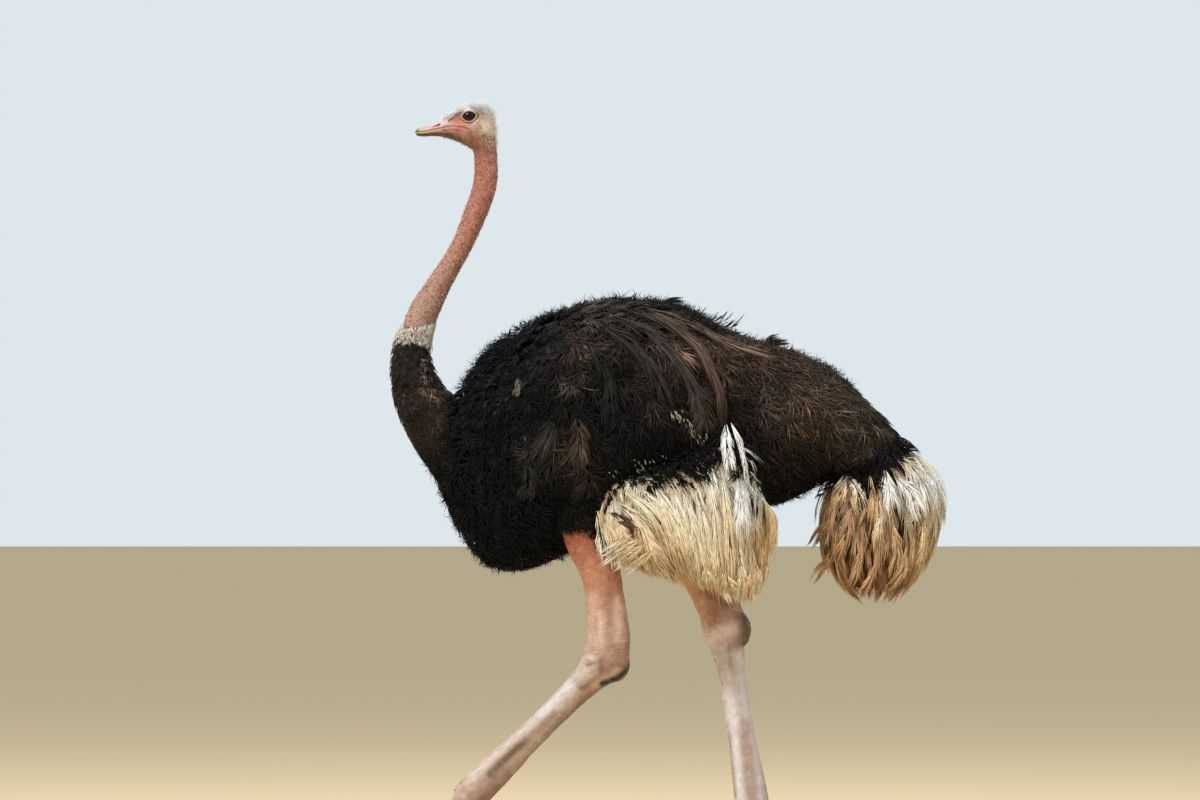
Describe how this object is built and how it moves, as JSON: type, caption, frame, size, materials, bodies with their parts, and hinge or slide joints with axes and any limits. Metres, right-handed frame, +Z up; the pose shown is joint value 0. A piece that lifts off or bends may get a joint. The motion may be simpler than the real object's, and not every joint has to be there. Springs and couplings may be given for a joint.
{
  "type": "ostrich",
  "caption": "Life-size still model of a male ostrich in mid-stride, with black body feathers, white wing plumes, a tan tail, a long bare neck and bare legs.",
  "frame": {"origin": "middle of the bird's box on the floor, under the body", "axes": "+Z up, -X the way the bird faces, its left side towards -Y"},
  "size_m": [1.4708, 0.562, 1.969],
  "materials": {
    "down": "short whitish down over pink skin",
    "skin": "bare salmon-brown skin with fine pale down",
    "horn": "smooth pinkish horn with an olive tip",
    "eye": "wet dark brown",
    "black_feather": "loose, curly black feathers",
    "brown_feather": "short dark brown feathers",
    "white_feather": "soft cream-white plumes",
    "tan_feather": "soft cream and tan plumes",
    "scute": "pale pinkish-grey scaly skin",
    "claw": "dark horn"
  },
  "bodies": {
    "root": {"head": "down", "bill_upper": "horn", "bill_lower": "horn", "neck_top": "skin", "neck_middle": "skin", "neck_low": "skin", "neck_base": "brown_feather", "trunk": "black_feather", "tail": "tan_feather", "eye_left": "eye", "wing_left": "black_feather", "plumes_left": "white_feather", "thigh_left": "skin", "shank_left": "scute", "foot_left": "scute", "small_toe_left": "scute", "claw_left": "claw", "eye_right": "eye", "wing_right": "black_feather", "plumes_right": "white_feather", "thigh_right": "skin", "shank_right": "scute", "foot_right": "scute", "small_toe_right": "scute", "claw_right": "claw"}
  },
  "joints": []
}
